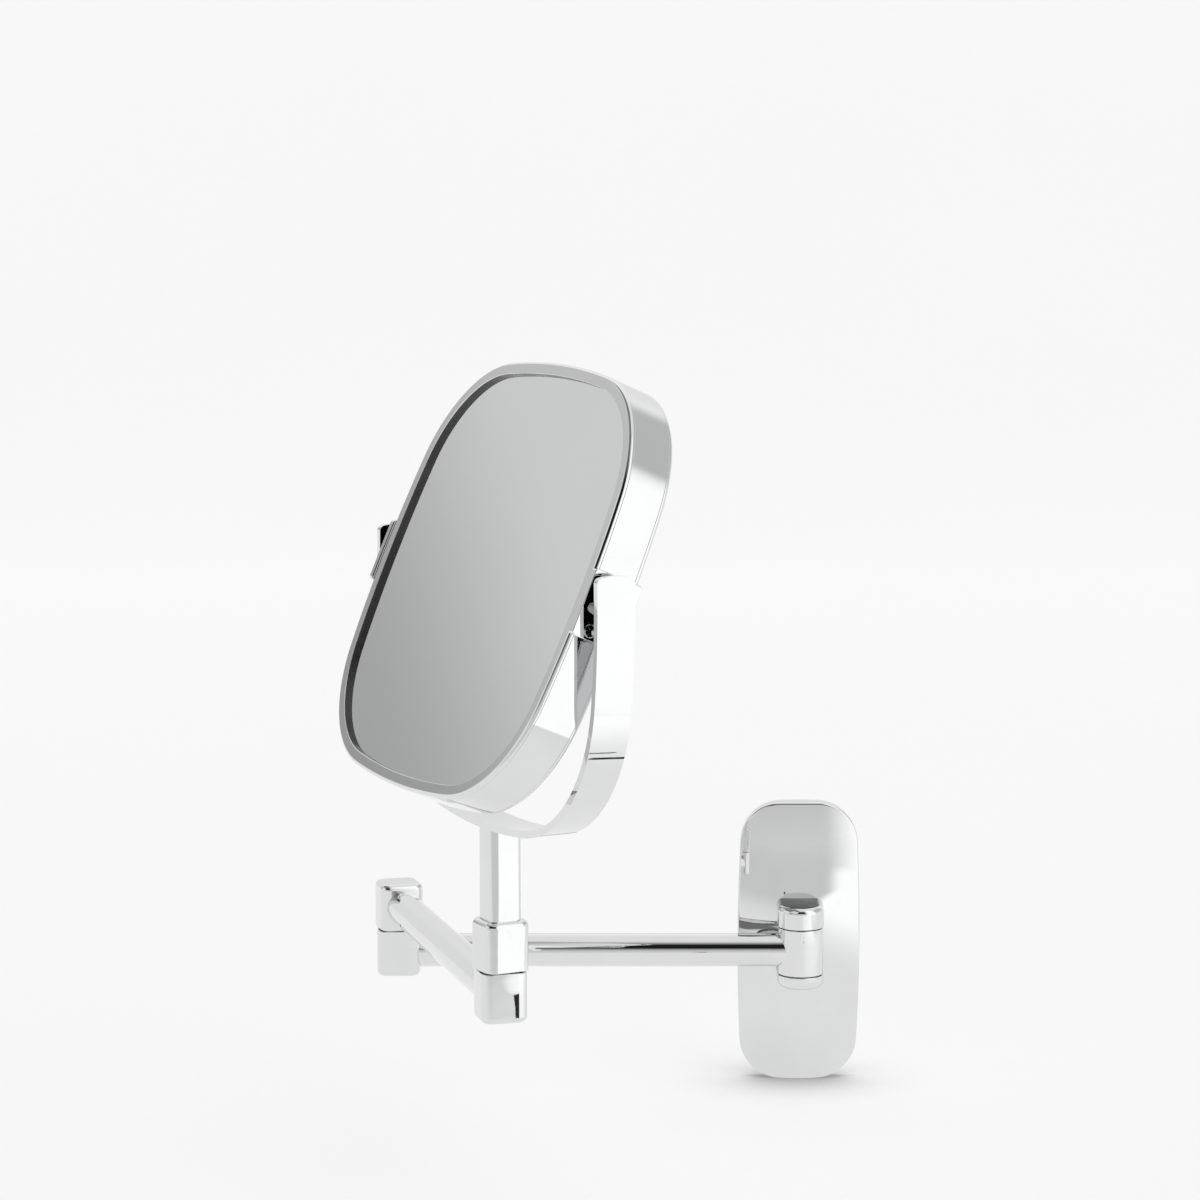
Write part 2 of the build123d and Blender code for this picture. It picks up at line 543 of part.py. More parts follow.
def make_head():
    save("front_bezel", at_head(bezel(HEAD_FRONT_Y, GLASS_FRONT_Y, HEAD_FRONT_Y)))
    save("back_bezel", at_head(bezel(HEAD_BACK_Y - BEZEL_T, HEAD_BACK_Y, HEAD_BACK_Y)))

    band_y = (HEAD_FRONT_Y + BEZEL_T, HEAD_BACK_Y - BEZEL_T)
    band_face = HEAD_W / 2
    solid_band = upright(head_outline(0), *band_y)
    band = solid_band - upright(head_outline(BAND_T), *band_y)
    holes = [rod_x(SCREW_R + 0.1, 0, band_face + 5, 0, z) for z in (PAD_SCREW_OFFSET, -PAD_SCREW_OFFSET)]
    holes.append(rod_x(BUSHING_R, 0, band_face + 5))
    for hole in holes:
        band = band - hole - Rot(0, 0, 180) * hole
    save("case_band", at_head(band))

    glass_inset = BEZEL_LAND - GLASS_MARGIN
    back_y = GLASS_FRONT_Y + GLASS_T
    save("plain_glass", at_head(upright(head_outline(glass_inset), GLASS_FRONT_Y, back_y)))
    save("front_gasket", at_head(upright(head_outline(glass_inset), back_y, back_y + GASKET_T)))

    rim_y = HEAD_BACK_Y - BEZEL_T
    zone = upright(head_outline(glass_inset), -GASKET_T, rim_y)
    save("magnifying_glass", at_head((zone & magnifier_ball(GLASS_T)) - magnifier_ball(0)))

    core_y = (back_y + GASKET_T, rim_y)
    core = upright(head_outline(BAND_T + CORE_WALL), *core_y)
    core = core - magnifier_ball(GLASS_T + 0.4)
    core = core - upright(head_outline(CORE_RIM), core_y[0], CORE_FLOOR_Y)
    core = core - upright(head_outline(glass_inset - CORE_WALL), rim_y - GLASS_T - 0.6, rim_y)
    block_x = (band_face - BAND_T - BLOCK_DEPTH, band_face)
    half_pocket = BLOCK_L / 2 + CORE_WALL
    pocket = block((band_face - STUD_REACH - 1, band_face), (-HEAD_DEPTH, HEAD_DEPTH), (-half_pocket, half_pocket))
    core = core - pocket - Rot(0, 0, 180) * pocket
    save("core_frame", at_head(core))

    inner_band = upright(head_outline(BAND_T), -HEAD_DEPTH, HEAD_DEPTH)
    pivot_block = block(block_x, (-BLOCK_W / 2, BLOCK_W / 2), (-BLOCK_L / 2, BLOCK_L / 2)) & inner_band
    screw_tip = band_face - BAND_T - 7.0
    for z in (PAD_SCREW_OFFSET, -PAD_SCREW_OFFSET):
        pivot_block = pivot_block - rod_x(SCREW_R, screw_tip - 1, band_face, 0, z)
    pivot_block = pivot_block - rod_x(BUSHING_R, 0, band_face + 1)
    save("pivot_blocks", *both_sides(pivot_block))

    pad_face = band_face + PAD_T
    pad = block((band_face - 2, pad_face), (-PAD_W / 2, PAD_W / 2), (-PAD_L / 2, PAD_L / 2))
    pad = fillet(pad.edges().filter_by(Axis.X), 1.6)
    pad = fillet(pad.faces().sort_by(Axis.X)[-1].edges(), 0.4)
    pad = pad - upright(head_outline(0), -HEAD_DEPTH, HEAD_DEPTH) - rod_x(BUSHING_R, 0, pad_face + 1)
    screws = []
    for z in (PAD_SCREW_OFFSET, -PAD_SCREW_OFFSET):
        pad = pad - rod_x(SCREW_R + 0.1, 0, pad_face + 1, 0, z)
        shank = rod_x(SCREW_R, screw_tip, pad_face + 0.3, 0, z)
        head = rod_x(SCREW_HEAD_R, pad_face, pad_face + SCREW_HEAD_T, 0, z)
        head = fillet(head.faces().sort_by(Axis.X)[-1].edges(), 0.9)
        cross = Pos(pad_face + SCREW_HEAD_T, 0, z) * cross_slot(1.1)
        screws.extend(both_sides(shank + head - cross))
    save("pivot_pads", *both_sides(pad))
    save("pad_screws", *screws)

    bush = rod_x(BUSHING_R, block_x[0], pad_face) - rod_x(STUD_R + RUNNING_GAP, 0, pad_face + 1)
    save("pivot_bushes", *both_sides(bush))

    clip_x = band_face - STUD_REACH + CLIP_GROOVE + 0.05
    clip = rod_x(CLIP_R, clip_x, clip_x + CLIP_T) - rod_x(STUD_R - 0.55, 0, band_face)
    clip = clip - block((0, band_face), (0, 20), (-STUD_R + 0.9, STUD_R - 0.9))
    save("stud_clips", *[at_yoke(turn * Pos(0, 0, PIVOT_Z) * clip) for turn in (Rot(0, 0, 0), Rot(0, 0, 180))])


make_wall_parts()
make_inner_arm()
make_outer_arm()
make_yoke()
make_head()
print("knuckle axis", [round(value, 3) for value in KNUCKLE_AXIS])
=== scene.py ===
import json
import math
import bpy
import numpy as np
from mathutils import Matrix, Vector


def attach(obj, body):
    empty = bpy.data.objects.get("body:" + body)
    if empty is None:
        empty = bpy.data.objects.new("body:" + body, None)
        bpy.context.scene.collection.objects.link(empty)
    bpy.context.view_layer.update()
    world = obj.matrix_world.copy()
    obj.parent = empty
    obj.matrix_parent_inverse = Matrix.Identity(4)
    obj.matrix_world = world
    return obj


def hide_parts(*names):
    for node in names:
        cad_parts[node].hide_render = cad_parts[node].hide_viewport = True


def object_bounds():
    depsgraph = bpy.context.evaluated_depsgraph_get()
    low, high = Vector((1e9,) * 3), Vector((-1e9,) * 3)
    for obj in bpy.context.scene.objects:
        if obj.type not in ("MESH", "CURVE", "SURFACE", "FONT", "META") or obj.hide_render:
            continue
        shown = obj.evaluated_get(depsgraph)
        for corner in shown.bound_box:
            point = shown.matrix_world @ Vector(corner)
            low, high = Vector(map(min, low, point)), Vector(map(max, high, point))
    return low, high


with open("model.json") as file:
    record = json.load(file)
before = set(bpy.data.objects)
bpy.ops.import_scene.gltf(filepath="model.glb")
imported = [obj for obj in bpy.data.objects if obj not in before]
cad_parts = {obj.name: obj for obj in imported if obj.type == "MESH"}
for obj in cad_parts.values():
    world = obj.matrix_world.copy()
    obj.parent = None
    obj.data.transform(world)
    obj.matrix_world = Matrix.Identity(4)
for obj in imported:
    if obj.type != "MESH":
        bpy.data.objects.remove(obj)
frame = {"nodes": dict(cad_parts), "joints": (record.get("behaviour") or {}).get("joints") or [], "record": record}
cad_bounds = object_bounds()
JOINTS = {j["name"]: j for j in frame["joints"]}

# ---------------------------------------------------------------- dimensions, as in the CAD
# Lengths are in millimetres, and HEAD_TILT is in degrees.
MM = 0.001
PIVOT_Z = JOINTS["tilt"]["pos_m"][2] / MM
HEAD_TILT = 23.85
HEAD_W = 193.8
HEAD_H = 192.0
HEAD_DEPTH = 21.7
HEAD_BULGE = 9.8
HEAD_CORNER_R = 56.0
BEZEL_T = 2.2
BEZEL_LAND = 5.6
BEZEL_RIM_R = 1.7
BEZEL_LIP_R = 0.3
SEAM_R = 0.18
BAND_T = 1.6
GLASS_T = 3.0
GLASS_UNDER_BEZEL = 2.4
MAGNIFIER_R = 900.0
MAGNIFIER_GAP = 0.15
PLATE_W = 59.0
PLATE_H = 136.0
PLATE_DEPTH = 13.2
PLATE_SAG_X = 4.6
PLATE_SAG_Z = 4.2
PLATE_SIDE_BULGE = 2.2
PLATE_TOP_BULGE = 1.2
PLATE_CORNER_R = 20.0
PLATE_EDGE_R = 1.1
PLATE_INNER_EDGE_R = 0.4
PLATE_SHEET = 1.6
PLATE_RADIUS_X = ((PLATE_W / 2) ** 2 + PLATE_SAG_X**2) / (2 * PLATE_SAG_X)
PLATE_RADIUS_Z = ((PLATE_H / 2) ** 2 + PLATE_SAG_Z**2) / (2 * PLATE_SAG_Z)

# how finely the curved surfaces are divided
HEAD_SIDE_STEPS = 36
HEAD_CORNER_STEPS = 40
PLATE_OUTLINE_STEPS = 24
SEAM_STEPS = 3
LIP_ROWS = 4
RIM_STEPS = 8
DISH_ROWS = 40
DISH_MIDDLE = 0.02
PLATE_EDGE_ROWS = 9
DOME_ROWS = 44
DOME_MIDDLE = 0.01
BACKDROP_ROWS = 25

# ---------------------------------------------------------------- places, as frames in millimetres
knuckle_at = Vector(JOINTS["swivel"]["pos_m"])
tilt_axis = Vector(JOINTS["tilt"]["axis"]).normalized()
yoke_turn = math.atan2(tilt_axis.y, tilt_axis.x)
WALL = Matrix.Scale(MM, 4)
YOKE = Matrix.Translation((knuckle_at.x, knuckle_at.y, 0)) @ Matrix.Rotation(yoke_turn, 4, "Z") @ WALL
HEAD = YOKE @ Matrix.Translation((0, 0, PIVOT_Z)) @ Matrix.Rotation(math.radians(-HEAD_TILT), 4, "X")


# ---------------------------------------------------------------- outlines
def arc(cx, cy, radius, start, end, steps):
    """Points and outward normals along an arc, without the last point. Angles in radians."""
    angles = np.linspace(start, end, steps + 1)[:-1]
    normal = np.stack([np.cos(angles), np.sin(angles)], 1)
    return np.array([cx, cy]) + radius * normal, normal


def soft_outline(width, height, bulge_x, bulge_y, corner_r, side_steps, corner_steps):
    """Closed outline whose sides are shallow arcs and whose corners are rounded: points, normals."""
    w, h = width / 2, height / 2
    side_r = ((h - bulge_y) ** 2 + bulge_x**2) / (2 * bulge_x)
    top_r = ((w - bulge_x) ** 2 + bulge_y**2) / (2 * bulge_y)
    side_c = np.array([w - side_r, 0.0])
    top_c = np.array([0.0, h - top_r])
    a, b = side_r - corner_r, top_r - corner_r
    gap = top_c - side_c
    dist = float(np.hypot(*gap))
    along = (a * a - b * b + dist * dist) / (2 * dist)
    off = math.sqrt(a * a - along * along)
    unit = gap / dist
    corner = side_c + along * unit + off * np.array([-unit[1], unit[0]])
    first = math.atan2(corner[1] - side_c[1], corner[0] - side_c[0])
    second = math.atan2(corner[1] - top_c[1], corner[0] - top_c[0])
    quarter = math.pi / 2
    points, normals = [], []
    pieces = [
        (side_c[0], 0.0, side_r, 0.0, first, side_steps),
        (corner[0], corner[1], corner_r, first, second, corner_steps),
        (0.0, top_c[1], top_r, second, quarter, side_steps),
    ]
    for cx, cy, radius, start, end, steps in pieces:
        p, n = arc(cx, cy, radius, start, end, steps)
        points.append(p)
        normals.append(n)
    one_p, one_n = np.concatenate(points), np.concatenate(normals)
    end_p, end_n = np.array([[0.0, h]]), np.array([[0.0, 1.0]])
    flip = np.array([-1.0, 1.0])
    half_p = np.concatenate([one_p, end_p, (one_p * flip)[::-1][:-1], [[-w, 0.0]]])
    half_n = np.concatenate([one_n, end_n, (one_n * flip)[::-1][:-1], [[-1.0, 0.0]]])
    low_p, low_n = (half_p * -1)[:-1], (half_n * -1)[:-1]
    return np.concatenate([half_p[:-1], low_p]), np.concatenate([half_n[:-1], low_n])


# ---------------------------------------------------------------- mesh code
class Shape:
    """Mesh made of patches. Corners keep their own exact normals, and corners that meet are joined.
    slot is the number of the material that the next faces get."""

    def __init__(self):
        self.points, self.index, self.faces, self.normals = [], {}, [], []
        self.slot, self.slots = 0, []

    def vertex(self, p):
        key = (round(p[0], 4), round(p[1], 4), round(p[2], 4))
        if key not in self.index:
            self.index[key] = len(self.points)
            self.points.append(tuple(float(v) for v in p))
        return self.index[key]

    def face(self, corners, normals):
        """One face, wound to look along its normals. Corners that coincide are joined."""
        ids, kept = [], []
        for p, n in zip(corners, normals):
            i = self.vertex(p)
            if i not in ids:
                ids.append(i)
                kept.append(n)
        if len(ids) < 3:
            return
        self.slots.append(self.slot)
        area = np.zeros(3)
        ring = [np.array(self.points[i]) for i in ids]
        for i in range(1, len(ring) - 1):
            area += np.cross(ring[i] - ring[0], ring[i + 1] - ring[0])
        if np.dot(area, np.mean(kept, 0)) < 0:
            ids.reverse()
            kept.reverse()
        self.faces.append(ids)
        self.normals.extend(tuple(float(v) for v in n) for n in kept)

    def grid(self, p, n):
        """Quads over points p[row][column] with normals n, whose columns close round."""
        rows, cols = len(p), len(p[0])
        for i in range(rows - 1):
            for j in range(cols):
                k = (j + 1) % cols
                self.face([p[i][j], p[i][k], p[i + 1][k], p[i + 1][j]],
                          [n[i][j], n[i][k], n[i + 1][k], n[i + 1][j]])

    def flat(self, ring, normal):
        """One flat face over a ring of points."""
        self.face(list(ring), [normal] * len(ring))

    def make(self, name, matrix, body, material, replaced=(), second=None):
        """Turn the patches into a piece that rides on a body and replaces CAD nodes."""
        mesh = bpy.data.meshes.new(name)
        mesh.from_pydata(self.points, [], self.faces)
        mesh.polygons.foreach_set("use_smooth", [True] * len(mesh.polygons))
        mesh.normals_split_custom_set([Vector(n).normalized() for n in self.normals])
        mesh.transform(matrix)
        mesh.materials.append(material)
        if second:
            mesh.materials.append(second)
        mesh.polygons.foreach_set("material_index", self.slots)
        mesh.validate(clean_customdata=False)
        mesh.update()
        piece = bpy.data.objects.new(name, mesh)
        bpy.context.scene.collection.objects.link(piece)
        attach(piece, body)
        if replaced:
            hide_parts(*replaced)
        return piece


def facing(across, upward, along):
    """Point of an outline that lies in the x-z plane and is swept along y."""
    return (across, along, upward)


def sweep(shape, outline, profile):
    """Rings of an outline at each (inset, level, normal across, normal along) of a profile."""
    points, normals = outline
    rings = [[facing(*(q - inset * m), level) for q, m in zip(points, normals)]
             for inset, level, _, _ in profile]
    facets = [[facing(*(m * across), along) for m in normals] for _, _, across, along in profile]
    shape.grid(rings, facets)
    return rings


def round_rim(level, radius, start, end, side, steps):
    """Profile points on a rounded rim: angles in degrees from the side wall to the flat end.
    level is where the rim ends; side is +1 at the high end, -1 at the low."""
    rows = []
    for t in np.linspace(math.radians(start), math.radians(end), steps + 1):
        rows.append((radius * (1 - math.cos(t)), level - side * radius * (1 - math.sin(t)),
                     math.cos(t), side * math.sin(t)))
    return rows


# ---------------------------------------------------------------- materials
def new_material(name):
    material = bpy.data.materials.new(name)
    material.use_nodes = True
    tree = material.node_tree
    shader = next(n for n in tree.nodes if n.type == "BSDF_PRINCIPLED")
    return material, tree, shader


def noise(tree, scale, detail=3.0, roughness=0.55):
    where = tree.nodes.new("ShaderNodeTexCoord")
    node = tree.nodes.new("ShaderNodeTexNoise")
    node.inputs["Scale"].default_value = scale
    node.inputs["Detail"].default_value = detail
    node.inputs["Roughness"].default_value = roughness
    tree.links.new(where.outputs["Object"], node.inputs["Vector"])
    return node.outputs["Fac"]


def map_range(tree, value, low, high, start=0.35, end=0.65):
    node = tree.nodes.new("ShaderNodeMapRange")
    node.inputs["From Min"].default_value = start
    node.inputs["From Max"].default_value = end
    node.inputs["To Min"].default_value = low
    node.inputs["To Max"].default_value = high
    tree.links.new(value, node.inputs["Value"])
    return node.outputs["Result"]


def colour_mix(tree, factor, first, second):
    node = tree.nodes.new("ShaderNodeMix")
    node.data_type = "RGBA"
    node.inputs["A"].default_value = (*first, 1)
    node.inputs["B"].default_value = (*second, 1)
    tree.links.new(factor, node.inputs["Factor"])
    return node.outputs["Result"]


def add_bump(tree, shader, height, strength, distance):
    node = tree.nodes.new("ShaderNodeBump")
    node.inputs["Strength"].default_value = strength
    node.inputs["Distance"].default_value = distance
    tree.links.new(height, node.inputs["Height"])
    tree.links.new(node.outputs["Normal"], shader.inputs["Normal"])


def metal(name, light, dark, rough, wave_scale=18.0, wave=0.0, tone_scale=30.0):
    """Metal whose tone and polish vary a little over the surface, with a faint waviness."""
    material, tree, shader = new_material(name)
    shader.inputs["Metallic"].default_value = 1.0
    tone = map_range(tree, noise(tree, tone_scale), 0, 1)
    tree.links.new(colour_mix(tree, tone, light, dark), shader.inputs["Base Color"])
    polish = map_range(tree, noise(tree, scale=140.0, detail=5.0), rough[0], rough[1])
    tree.links.new(polish, shader.inputs["Roughness"])
    if wave:
        waves = noise(tree, wave_scale, detail=1.0, roughness=0.3)
        add_bump(tree, shader, waves, wave, distance=0.0005)
    return material


def plastic(name, light, dark, rough, grain, grain_depth):
    """Plastic or foam with a fine grain, whose tone and polish vary a little."""
    material, tree, shader = new_material(name)
    tone = map_range(tree, noise(tree, scale=60.0), 0, 1)
    tree.links.new(colour_mix(tree, tone, light, dark), shader.inputs["Base Color"])
    polish = map_range(tree, noise(tree, scale=260.0, detail=4.0), rough[0], rough[1])
    tree.links.new(polish, shader.inputs["Roughness"])
    add_bump(tree, shader, noise(tree, grain, detail=4.0), 0.5, grain_depth)
    return material


chrome = metal("chrome_plate", (0.765, 0.768, 0.772), (0.745, 0.748, 0.752), (0.02, 0.045), wave=0.06)
cast_chrome = metal("chrome_on_cast_zinc", (0.765, 0.768, 0.772), (0.745, 0.748, 0.752), (0.02, 0.05),
                    wave_scale=75.0, wave=0.36)
steel = metal("zinc_plated_steel", (0.60, 0.60, 0.60), (0.50, 0.50, 0.50), (0.22, 0.36),
              wave_scale=90.0, wave=0.25, tone_scale=220.0)
silver = metal("silvered_glass", (0.90, 0.905, 0.91), (0.885, 0.89, 0.895), (0.012, 0.022), tone_scale=8.0)
zinc = metal("cast_zinc", (0.52, 0.53, 0.55), (0.42, 0.43, 0.45), (0.35, 0.5),
             wave_scale=300.0, wave=0.4, tone_scale=400.0)
nylon = plastic("natural_nylon", (0.86, 0.85, 0.80), (0.80, 0.79, 0.74), (0.4, 0.55), 900.0, 0.00005)
foam = plastic("closed_cell_foam", (0.16, 0.16, 0.17), (0.11, 0.11, 0.12), (0.8, 0.95), 1800.0, 0.0002)
# Near-black tone for the bezels' recess walls: painted shade, standing in for the dark reflection of the shaded
# lip underside in the mirror's silvered back.
recess_shade_paint = plastic("painted_recess_shade", (0.060, 0.060, 0.062), (0.035, 0.035, 0.036), (0.18, 0.34),
                  700.0, 0.00006)
moulded = plastic("moulded_core", (0.22, 0.23, 0.25), (0.19, 0.20, 0.22), (0.45, 0.6), 1200.0, 0.00008)
BY_SLOT = {"chrome": chrome, "steel": steel, "plain_mirror": silver, "magnifying_mirror": silver,
           "zinc": zinc, "nylon": nylon, "foam": foam, "core_plastic": moulded}
CAST_NODES = ("inner_arm_wall_barrel", "inner_arm_elbow_barrel", "outer_arm_elbow_barrel",
              "outer_arm_knuckle_barrel", "swivel_barrel", "hinge_bracket")
for part in frame["record"]["subparts"]:
    cad_object = frame["nodes"][part["node"]]
    for one_slot in cad_object.material_slots:
        one_slot.material = cast_chrome if part["node"] in CAST_NODES else BY_SLOT[part["material_slot"]]


# ---------------------------------------------------------------- mirror head
def bezel(name, outline, outer, side):
    """One bezel: its edge, its face, the lip of its recess and the recess wall, near black as painted shade."""
    inner = outer - side * BEZEL_T
    quarter = np.linspace(0, math.pi / 2, LIP_ROWS)
    lip_start = BEZEL_LAND - BEZEL_LIP_R
    edge = [(SEAM_R * (1 - math.sin(t)), inner + side * SEAM_R * (1 - math.cos(t)),
             math.sin(t), -side * math.cos(t)) for t in quarter]
    edge += round_rim(outer, BEZEL_RIM_R, 0, 90, side, RIM_STEPS)
    land = [(BEZEL_RIM_R, outer, 0, side), (lip_start, outer, 0, side)]
    lip = [(lip_start + BEZEL_LIP_R * math.sin(t), outer - side * BEZEL_LIP_R * (1 - math.cos(t)),
            -math.sin(t), side * math.cos(t)) for t in quarter]
    wall = [(BEZEL_LAND, outer - side * BEZEL_LIP_R, -1, 0), (BEZEL_LAND, inner, -1, 0)]
    under = [(BEZEL_LAND, inner, 0, -side), (SEAM_R, inner, 0, -side)]
    shape = Shape()
    for rows in (edge, land, lip, under):
        sweep(shape, outline, rows)
    # The recess wall takes the near-black second material: painted shade along the mirror's edge.
    shape.slot = 1
    sweep(shape, outline, wall)
    shape.make("chrome_" + name, HEAD, "mirror_head", chrome, (name,), second=recess_shade_paint)


def case_band(outline, low, high):
    """Band between the bezels: its outside with two fine seams, its ends and its inside."""
    outside = round_rim(low, SEAM_R, 90, 0, -1, SEAM_STEPS) + round_rim(high, SEAM_R, 0, 90, 1, SEAM_STEPS)
    low_end = [(SEAM_R, low, 0, -1), (BAND_T, low, 0, -1)]
    inside = [(BAND_T, low, -1, 0), (BAND_T, high, -1, 0)]
    high_end = [(BAND_T, high, 0, 1), (SEAM_R, high, 0, 1)]
    shape = Shape()
    for rows in (outside, low_end, inside, high_end):
        sweep(shape, outline, rows)
    shape.make("chrome_case_band", HEAD, "mirror_head", chrome, ("case_band",))


def plain_mirror(outline, low, inset):
    """Flat mirror behind the front bezel."""
    shape = Shape()
    ends = sweep(shape, outline, [(inset, low, 1, 0), (inset, low + GLASS_T, 1, 0)])
    shape.flat(ends[0], (0, -1, 0))
    shape.flat(ends[1], (0, 1, 0))
    shape.make("plain_mirror_glass", HEAD, "mirror_head", silver, ("plain_glass",))


def magnifying_mirror(outline, high, inset):
    """Concave mirror behind the back bezel."""
    rim = HEAD_W / 2 - BEZEL_LAND
    centre_y = high - MAGNIFIER_GAP + math.sqrt(MAGNIFIER_R**2 - rim**2)
    points, normals = outline
    edge = points - inset * normals

    def dish(radius, sign):
        """One face of the glass: rings from its edge to its middle."""
        rows_p, rows_n = [], []
        for scale in np.linspace(1, DISH_MIDDLE, DISH_ROWS):
            ring_p, ring_n = [], []
            for q in edge * scale:
                y = min(centre_y - math.sqrt(radius**2 - q[0] ** 2 - q[1] ** 2), high)
                away = np.array([q[0], y - centre_y, q[1]]) / radius
                ring_p.append((q[0], y, q[1]))
                ring_n.append(tuple(-sign * away))
            rows_p.append(ring_p)
            rows_n.append(ring_n)
        return rows_p, rows_n

    shape = Shape()
    face_p, face_n = dish(MAGNIFIER_R, 1)
    rear_p, rear_n = dish(MAGNIFIER_R + GLASS_T, -1)
    shape.grid(face_p, face_n)
    shape.flat(face_p[-1], (0, 1, 0))
    shape.grid(rear_p, rear_n)
    shape.flat(rear_p[-1], (0, -1, 0))
    rim_n = [(m[0], 0, m[1]) for m in normals]
    shape.grid([face_p[0], rear_p[0]], [rim_n, rim_n])
    shape.make("concave_mirror_glass", HEAD, "mirror_head", silver, ("magnifying_glass",))


def head_pieces():
    """The mirror head's bezels, band and two mirrors."""
    outline = soft_outline(HEAD_W, HEAD_H, HEAD_BULGE, HEAD_BULGE, HEAD_CORNER_R,
                           HEAD_SIDE_STEPS, HEAD_CORNER_STEPS)
    front, back = -HEAD_DEPTH / 2, HEAD_DEPTH / 2
    low, high = front + BEZEL_T, back - BEZEL_T
    glass_inset = BEZEL_LAND - GLASS_UNDER_BEZEL
    bezel("front_bezel", outline, front, -1)
    bezel("back_bezel", outline, back, 1)
    case_band(outline, low, high)
    plain_mirror(outline, low, glass_inset)
    magnifying_mirror(outline, high, glass_inset)


# ---------------------------------------------------------------- wall plate
def dome(x, z, depth):
    """Where a dome of some depth has its surface at (x, z), and its outward normal there."""
    axis_y = -depth + PLATE_RADIUS_X
    drop = math.sqrt(PLATE_RADIUS_Z**2 - z * z)
    around = axis_y - (-depth + PLATE_RADIUS_Z - drop)
    y = axis_y - math.sqrt(around**2 - x * x)
    normal = np.array([x, y - axis_y, around * z / drop])
    return y, normal / np.linalg.norm(normal)


def plate_skin(shape, outline, depth, inset, edge_r, sign):
    """Outside (sign +1) or inside (sign -1) of the plate: its side, rounded edge and dome.
    Returns the ring where it meets the wall."""
    rows_p = [[] for _ in range(PLATE_EDGE_ROWS + 1)]
    rows_n = [[] for _ in range(PLATE_EDGE_ROWS + 1)]
    inner_ring = []
    for q, m in zip(*outline):
        q = q - inset * m
        _, tilt = dome(*(q - edge_r * m), depth)
        end = math.atan2(-tilt[1], tilt[0] * m[0] + tilt[2] * m[1])
        at = q - edge_r * (1 - math.cos(end)) * m
        y_end, _ = dome(*at, depth)
        centre_y = y_end + edge_r * math.sin(end)
        rows_p[0].append((q[0], 0.0, q[1]))
        rows_n[0].append((sign * m[0], 0.0, sign * m[1]))
        for k, t in enumerate(np.linspace(0, end, PLATE_EDGE_ROWS)):
            p = q - edge_r * (1 - math.cos(t)) * m
            rows_p[k + 1].append((p[0], centre_y - edge_r * math.sin(t), p[1]))
            normal = (m[0] * math.cos(t), -math.sin(t), m[1] * math.cos(t))
            rows_n[k + 1].append(tuple(sign * v for v in normal))
        inner_ring.append(at)
    shape.grid(rows_p, rows_n)
    face_p, face_n = [], []
    for scale in np.linspace(1, DOME_MIDDLE, DOME_ROWS):
        ring = [dome(*(at * scale), depth) for at in inner_ring]
        face_p.append([(at[0] * scale, y, at[1] * scale) for at, (y, _) in zip(inner_ring, ring)])
        face_n.append([tuple(sign * v for v in normal) for _, normal in ring])
    shape.grid(face_p, face_n)
    shape.flat(face_p[-1], (0, -sign, 0))
    return rows_p[0]


def plate_piece():
    """Domed wall plate: an open-backed shell under a surface curved both ways."""
    outline = soft_outline(PLATE_W, PLATE_H, PLATE_SIDE_BULGE, PLATE_TOP_BULGE, PLATE_CORNER_R,
                           PLATE_OUTLINE_STEPS, PLATE_OUTLINE_STEPS)
    shape = Shape()
    outer_rim = plate_skin(shape, outline, PLATE_DEPTH, 0.0, PLATE_EDGE_R, 1)
    inner_rim = plate_skin(shape, outline, PLATE_DEPTH - PLATE_SHEET, PLATE_SHEET, PLATE_INNER_EDGE_R, -1)
    back = [(0, 1, 0)] * len(outer_rim)
    shape.grid([outer_rim, inner_rim], [back, back])
    shape.make("chrome_wall_plate", WALL, "wall_plate", chrome, ("wall_plate_cover",))


head_pieces()
plate_piece()


# ---------------------------------------------------------------- studio
# Directions are in degrees round the object: azimuth 0 is towards the viewer, 90 is on the viewer's right,
# and height is up from level. Glows, tones, drops and rises are strengths of emission, and CONTACT_SPAN and
# CONTACT_DARKEST are shares. Everything else is in metres. Two numbers are where a soft edge starts and
# ends, and four are two such edges, but POOL_FROM is a shift from the knuckle and POOL_FLARE a slope and
# an offset.
DEGREES = 180 / math.pi
FLOOR_Z = cad_bounds[0][2]
LIT_LIFT = 0.0002
PAPER_GLOW = 0.69
PAPER_WHITE = 0.93
# The CONTACT numbers shape the painted contact shadow on the paper under the parts.
CONTACT_REACH = 0.045
CONTACT_SAMPLES = 6
CONTACT_SPAN = (0.36, 1.0)
CONTACT_DARKEST = 0.20
SKY_TONE = 0.92
SOFTBOX = 1.30
SOFTBOX_AZIMUTH = 57.0
SOFTBOX_AZIMUTHS = (16, 42, 68, 82)
SOFTBOX_HEIGHTS = (-90, -80, 60, 75)
# The POOL numbers below shape the painted pool of light on the floor that reflections see; FLOOR_DIMS to
# FLOOR_RISE give its painted fall-off.
POOL_FROM = (0.05, -0.09)
POOL_SHARP_START = (0.262, 0.284)
POOL_SOFT_START = (0.08, 0.36)
POOL_SOFTENING = (-0.055, -0.02)
POOL_NEAR_EDGE = (-0.18, -0.09)
POOL_FAR_EDGE = (-0.035, 0.055)
POOL_FLARE = (-2.0, 0.88)
DISTANT_POOL_START = (0.38, 0.50)
MIDDLE_POOL_END = (1.1, 1.9)
MIDDLE_POOL_AZIMUTHS = (18, 30, 68, 82)
FLOOR_DIMS = (0.40, 0.75)
FLOOR_DROP = 0.22
FLOOR_BRIGHTENS = (1.0, 4.5)
FLOOR_RISE = 0.05
FLAG_LIFT = 0.002
UPRIGHT_REACH = 0.17


def math_node(tree, operation, *values):
    """One Math node; each value is a number or another node's output."""
    node = tree.nodes.new("ShaderNodeMath")
    node.operation = operation
    for socket, value in zip(node.inputs, values):
        if isinstance(value, (int, float)):
            socket.default_value = value
        else:
            tree.links.new(value, socket)
    return node.outputs[0]


